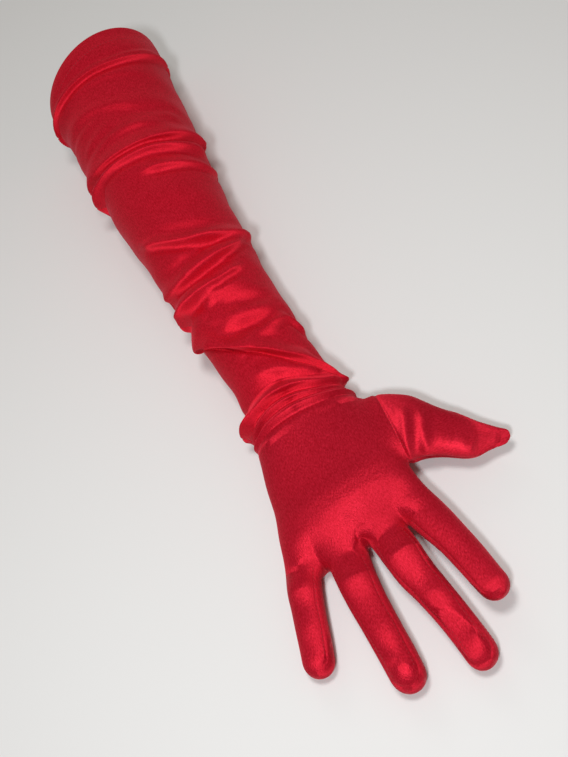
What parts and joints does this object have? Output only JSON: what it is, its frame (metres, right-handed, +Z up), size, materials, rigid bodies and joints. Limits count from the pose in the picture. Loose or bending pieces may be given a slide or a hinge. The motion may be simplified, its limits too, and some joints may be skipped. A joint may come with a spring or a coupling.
{
  "type": "opera glove",
  "caption": "Full-length stretch satin opera glove for the right hand, worn shape, with a gathered sleeve, set-in thumb and finger side strips",
  "frame": {"origin": "middle of the underside of the whole glove, on the surface it lies on", "axes": "+Z up from the table, +Y along the sleeve towards the open cuff, -Y towards the fingertips, +X towards the thumb"},
  "size_m": [0.1602, 0.4912, 0.0788],
  "materials": {
    "satin": "glossy red stretch satin with a soft sheen",
    "seam_thread": "matt red sewing thread and turned seam edges"
  },
  "bodies": {
    "forearm": {"forearm_back": "satin", "forearm_palm": "satin", "forearm_outer_seam": "seam_thread", "forearm_inner_seam": "seam_thread", "elbow_gather": "satin", "wrist_gather": "satin"},
    "upper_sleeve": {"upper_sleeve_back": "satin", "upper_sleeve_palm": "satin", "upper_sleeve_outer_seam": "seam_thread", "upper_sleeve_inner_seam": "seam_thread", "cuff_hem": "satin", "cuff_hem_stitching": "seam_thread"},
    "hand": {"hand_back": "satin", "hand_palm": "satin", "hand_outer_seam": "seam_thread", "thumb_fold": "satin", "index_fold": "satin", "middle_fold": "satin", "ring_fold": "satin", "little_fold": "satin"},
    "thumb": {"thumb_back": "satin", "thumb_palm": "satin", "thumb_seam": "seam_thread"},
    "index_finger": {"index_back": "satin", "index_palm": "satin", "index_strip_little_side": "satin"},
    "middle_finger": {"middle_back": "satin", "middle_palm": "satin", "middle_strip_thumb_side": "satin", "middle_strip_little_side": "satin"},
    "ring_finger": {"ring_back": "satin", "ring_palm": "satin", "ring_strip_thumb_side": "satin", "ring_strip_little_side": "satin"},
    "little_finger": {"little_back": "satin", "little_palm": "satin", "little_strip_thumb_side": "satin"}
  },
  "joints": [
    {"name": "elbow_bend", "type": "hinge", "parent": "forearm", "child": "upper_sleeve", "pos_m": [-0.01779, 0.14742, 0.035], "axis": [1, 0, 0], "range_deg": [0, 90], "deforming": ["elbow_gather"]},
    {"name": "wrist_bend", "type": "hinge", "parent": "forearm", "child": "hand", "pos_m": [-0.01779, -0.06458, 0.0195], "axis": [1, 0, 0], "range_deg": [-60, 70], "deforming": ["wrist_gather"]},
    {"name": "thumb_bend", "type": "hinge", "parent": "hand", "child": "thumb", "pos_m": [0.03936, -0.11587, 0.01882], "axis": [0.5145, 0.8575, 0], "range_deg": [-10, 60], "deforming": ["thumb_fold"]},
    {"name": "index_bend", "type": "hinge", "parent": "hand", "child": "index_finger", "pos_m": [0.01701, -0.16436, 0.01821], "axis": [0.9705, 0.186, 0.1537], "range_deg": [-15, 85], "deforming": ["index_fold"]},
    {"name": "middle_bend", "type": "hinge", "parent": "hand", "child": "middle_finger", "pos_m": [-0.00536, -0.17049, 0.01493], "axis": [0.981, 0.1165, 0.1554], "range_deg": [-15, 85], "deforming": ["middle_fold"]},
    {"name": "ring_bend", "type": "hinge", "parent": "hand", "child": "ring_finger", "pos_m": [-0.03227, -0.16855, 0.01114], "axis": [0.9857, -0.0639, 0.1561], "range_deg": [-15, 85], "deforming": ["ring_fold"]},
    {"name": "little_bend", "type": "hinge", "parent": "hand", "child": "little_finger", "pos_m": [-0.05852, -0.15888, 0.00773], "axis": [0.9326, -0.3293, 0.1477], "range_deg": [-15, 85], "deforming": ["little_fold"]}
  ]
}
